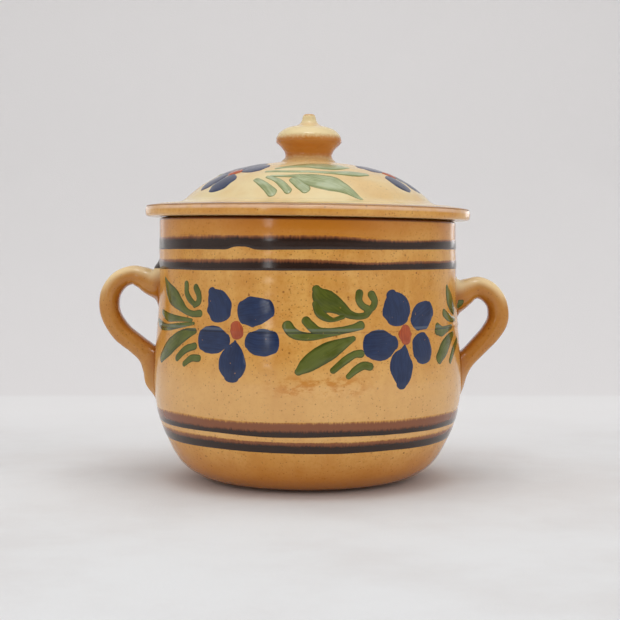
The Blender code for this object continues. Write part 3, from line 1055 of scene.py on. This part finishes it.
def build_band(name, low, high, dark_share, seed):
    """A brushed band of brown slip round the wall, bedded in the glaze at both edges."""
    def place(azimuth, share):
        uneven = [ripple(azimuth, 0, seed + k, scale) for k, scale in enumerate((2.2, 12, 2.6, 16))]
        foot = low + 0.35 * uneven[0] + 0.10 * uneven[1]
        head = high + 0.7 * uneven[2] + 0.12 * uneven[3]
        side = math.sin(azimuth)
        if name == "band_upper_1":
            head -= 2.5 * smooth(0.0, 0.5, side)
            foot += 1.7 * math.exp(-((math.degrees(azimuth) - BRUSH_LIFT) / 4.4) ** 4)
        elif name == "band_upper_2":
            head -= 1.4 * smooth(-0.1, 0.4, side)
        else:
            foot += 0.9 * smooth(0.2, 0.7, -side)
            head += 0.9 * smooth(0.2, 0.7, -side)
        point, normal = on_wall(azimuth, (foot + (head - foot) * share) * MM)
        body = 1 - 0.9 * smooth(0.55, 1.0, share)
        return point, normal, 0.20 * math.sin(math.pi * min(share / 0.16, 1.0) / 2) * body

    return add_piece(name, slip_ring(name, 12, place), band_material(name, dark_share), "pot")


def build_lid_line():
    """The thin, broken brown line along the top of the flange's edge."""
    low, high = FLANGE_RADIUS / MM - 3.2, FLANGE_RADIUS / MM - 0.4

    def place(azimuth, share):
        inner = low + 0.30 * ripple(azimuth, 0, 31, 4) + 0.2 * ripple(azimuth, 0, 32, 20)
        outer = high + 0.22 * ripple(azimuth, 0, 33, 5)
        spot = direction(azimuth) * (inner + (outer - inner) * share) * MM
        return *on_lid(spot.x, spot.y), 0.14 * math.sin(math.pi * share)

    mesh = slip_ring("lid_line", 6, place)
    lean(mesh)
    return add_piece("lid_line", mesh, line_material(), "lid")


# ---- Painting ----
def paint_wall():
    """The frieze. Strokes at the back, which the photo doesn't show, wander a little."""
    blue = slip_material("blue_slip", BLUE, BLUE_DARK, 0.35)
    green = slip_material("green_slip", GREEN, GREEN_DARK, 0.25, GREEN_THICK)
    red = slip_material("red_slip", RED, RED_DARK, 0.35, ridged=False)
    for i, (name, strokes, heart, azimuth, height) in enumerate(FLOWERS):
        wander = 0.0 if "front" in name else 1.1
        place = wall_chart(azimuth, height)
        painted(name + "_petals", strokes, place, blue, "pot", 10 + i, wander=wander)
        painted(name + "_heart", heart, place, red, "pot", 30 + i,
                thickness=HEART_THICKNESS, wander=wander)
    for i, (name, strokes, azimuth, height) in enumerate(SPRAYS):
        wander = 0.8 if "back" in name else 0.0
        painted(name, strokes, wall_chart(azimuth, height), green, "pot", 50 + i,
                wander=wander)
    return blue, green, red


def paint_handle(handle, green):
    """The dab where the brush touched the right handle's root."""
    tree = BVHTree.FromObject(handle, bpy.context.evaluated_depsgraph_get())
    centre = Vector(DAB_PLACE) * MM

    def place(u, v):
        return tree.find_nearest(centre + Vector((u, 0, v)) * MM)[:2]

    painted("dab_right", HANDLE_DAB, place, green, "pot", 120)


def paint_lid(blue, red):
    """Three flowers and three sprays round the lid."""
    # The lid's green is the wall's slip painted paler for the overhead light.
    green = slip_material("green_slip_lid", LID_GREEN_LIT, LID_GREEN_LIT_DARK, 0.3, LID_GREEN_LIT_THICK)
    for i, (name, azimuth, mirror, turns) in enumerate(LID_FLOWERS):
        place = lid_chart(azimuth, LID_FLOWER_RADIUS)
        petals = []
        for turn in turns:
            angle = math.radians(turn * mirror)
            c, s = math.cos(angle), math.sin(angle)
            petals.append([(u * c + v * s, v * c - u * s, w) for u, v, w in LID_PETAL])
        lean(painted(name + "_petals", petals, place, blue, "lid", 70 + i, wander=0.5).data)
        lean(painted(name + "_heart", LID_HEART, place, red, "lid", 80 + i,
                     thickness=HEART_THICKNESS).data)
    for i, (name, azimuth) in enumerate(LID_SPRAYS):
        wander = 0.0 if "front" in name else 0.9
        lean(painted(name, LID_SPRAY, lid_chart(azimuth, LID_SPRAY_RADIUS), green, "lid",
                     90 + i, thickness=LID_SLIP_THICKNESS, wander=wander).data)


# ---- Studio ----
def build_floor():
    """A plain pale sweep: floor, wide fold and wall, its cloth painted with light and shade."""
    fold, depth, front, top, half = 0.62, 1.06, -7.0, 1.5, 7.0
    fold_steps = 24
    outline = [(front, 0.0)]
    for i in range(fold_steps + 1):
        angle = math.pi / 2 * i / fold_steps
        outline.append((depth - fold + fold * math.sin(angle), fold - fold * math.cos(angle)))
    outline.append((depth, top))
    rows = [[Vector((x, y, z)) for x in (-half, half)] for y, z in outline]
    mesh = grid_mesh("sweep", rows, False)
    mesh.shade_smooth()
    sweep = bpy.data.objects.new("sweep", mesh)
    bpy.context.scene.collection.objects.link(sweep)
    g = Graph("pale_cloth")
    cloudy = g.range(g.noise(9, 5, rough=0.6), 0.35, 0.70)
    colour = g.mix(cloudy, CLOTH, CLOTH_CLOUD)
    # Painted light and shade: lighter behind the pot, a darker line at the fold, lighter higher up the
    # wall.
    colour = g.mix(g.range(g.y, 0.0, 0.38, 0.0, 0.9), colour, CLOTH_LIT_BEHIND)
    colour = g.mix(g.range(g.y, 0.415, 0.45, 0.0, 0.6), colour, CLOTH_FOLD_SHADE)
    colour = g.mix(g.range(g.z, 0.16, 0.44), colour, CLOTH_LIT_HIGH)
    g.plug(g.shader.inputs["Base Color"], colour)
    g.shader.inputs["Roughness"].default_value = 0.9
    g.bump(g.noise(700, 2), 0.0004, 0.4)
    mesh.materials.append(g.material)


def add_softbox(name, location, size, power, seen=True, lights=True):
    """An area light aimed at the pot. seen: it shows in the glaze. lights: it lights matt surfaces."""
    lamp = bpy.data.lights.new(name, "AREA")
    lamp.shape = "RECTANGLE"
    lamp.size, lamp.size_y = size
    lamp.energy = power
    thing = bpy.data.objects.new(name, lamp)
    thing.visible_glossy = seen
    thing.visible_diffuse = lights
    thing.visible_camera = False
    bpy.context.scene.collection.objects.link(thing)
    thing.location = location
    aim = Vector((0, 0, 0.1)) - Vector(location)
    thing.rotation_euler = aim.to_track_quat("-Z", "Y").to_euler()


def build_room():
    """Even light from the room, dim from the front and brighter from straight above."""
    world = bpy.data.worlds.new("room")
    bpy.context.scene.world = world
    world.use_nodes = True
    g = Nodes(world.node_tree)
    sky = g.tree.nodes["Background"]
    _, y, z = g.split(g.add("ShaderNodeTexCoord").outputs["Generated"])
    light = g.math("ADD", g.range(y, -1.0, -0.45, 0.13, 0.54), g.range(z, 0.75, 1.0, 0.0, 0.5))
    g.plug(sky.inputs["Color"], (0.97, 0.98, 1.0, 1.0))
    g.plug(sky.inputs["Strength"], light)


def build_studio():
    """Cloth, room and lights. Cards and gleam only show in the glaze; broad lights don't show in it."""
    build_floor()
    build_room()
    add_softbox("overhead", (0.0, -0.10, 1.35), (0.9, 0.8), 5.8, seen=False)
    add_softbox("front_fill", (0.0, -1.50, 0.60), (1.2, 0.7), 1.3, seen=False)
    add_softbox("left_side", (-1.15, -1.00, 0.55), (1.5, 1.2), 4.8, seen=False)
    add_softbox("right_side", (1.15, -1.00, 0.55), (1.5, 1.2), 5.8, seen=False)
    add_softbox("window", (-0.96, -1.77, 0.34), (0.16, 0.28), 0.65)
    add_softbox("gleam", (0.0, -0.44, 1.28), (0.5, 0.25), 2.4, lights=False)
    add_softbox("left_card", (-0.46, 0.85, 0.14), (0.35, 0.28), 0.14, lights=False)
    add_softbox("right_card", (0.46, 0.85, 0.14), (0.35, 0.28), 0.38, lights=False)


def build_camera():
    """The photo's viewpoint, a little above the pot's middle and looking slightly down."""
    camera = bpy.data.cameras.new("camera")
    camera.sensor_width = 36
    camera.lens = 81.3
    camera.clip_start = 0.01
    thing = bpy.data.objects.new("camera", camera)
    bpy.context.scene.collection.objects.link(thing)
    thing.location = (0.0013, -0.8032, 0.1327)
    thing.rotation_euler = (math.radians(90 - 2.622), 0, 0)
    bpy.context.scene.camera = thing


build_camera()
build_studio()
bpy.context.scene.view_settings.view_transform = "Standard"
LID_GLAZE = lid_material()
HANDLE_GLAZE = handle_material()
build_vessel()
build_handle("left_ear", LEFT_SPINE, -1, HANDLE_GLAZE, "left_handle")
RIGHT_EAR = build_handle("right_ear", RIGHT_SPINE, 1, HANDLE_GLAZE, "right_handle")
build_lid()
build_locating_ring()
build_knob()
for number, (band, low, high, dark_share) in enumerate(BANDS):
    build_band(band, low, high, dark_share, 40 + 5 * number)
build_lid_line()
blue, green, red = paint_wall()
paint_handle(RIGHT_EAR, green)
paint_lid(blue, red)
